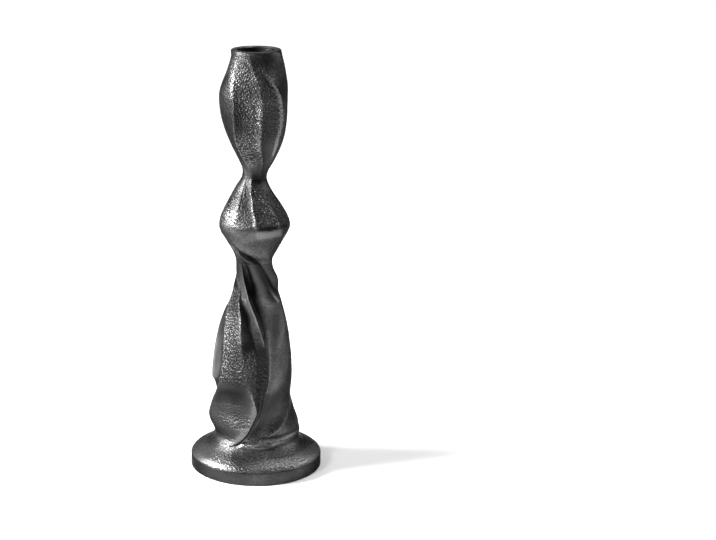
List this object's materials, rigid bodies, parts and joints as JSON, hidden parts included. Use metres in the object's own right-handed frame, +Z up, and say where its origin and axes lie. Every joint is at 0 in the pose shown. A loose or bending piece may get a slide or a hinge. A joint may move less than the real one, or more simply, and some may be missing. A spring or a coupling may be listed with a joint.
{
  "type": "candle holder",
  "caption": "Tall candle holder of blackened cast metal, twisted like draped cloth, with a round foot and a socket for a dinner candle.",
  "frame": {"origin": "on the table, under the middle of the foot", "axes": "+Z up along the candle socket's axis; the front that the picture shows faces -Y; +X to the right"},
  "size_m": [0.081, 0.081, 0.26],
  "materials": {
    "blackened_casting": "sand-cast skin, blackened and waxed to a dull shine",
    "plain_steel": "plain steel hardware, hidden inside",
    "felt": "black pressed felt"
  },
  "bodies": {
    "root": {"cup": "blackened_casting", "knop": "blackened_casting", "skirt": "blackened_casting", "foot_disc": "blackened_casting", "tie_rod": "plain_steel", "tie_washer": "plain_steel", "tie_nut": "plain_steel", "upper_dowel": "plain_steel", "lower_dowel": "plain_steel", "foot_screws": "plain_steel", "felt_pad": "felt"}
  },
  "joints": []
}
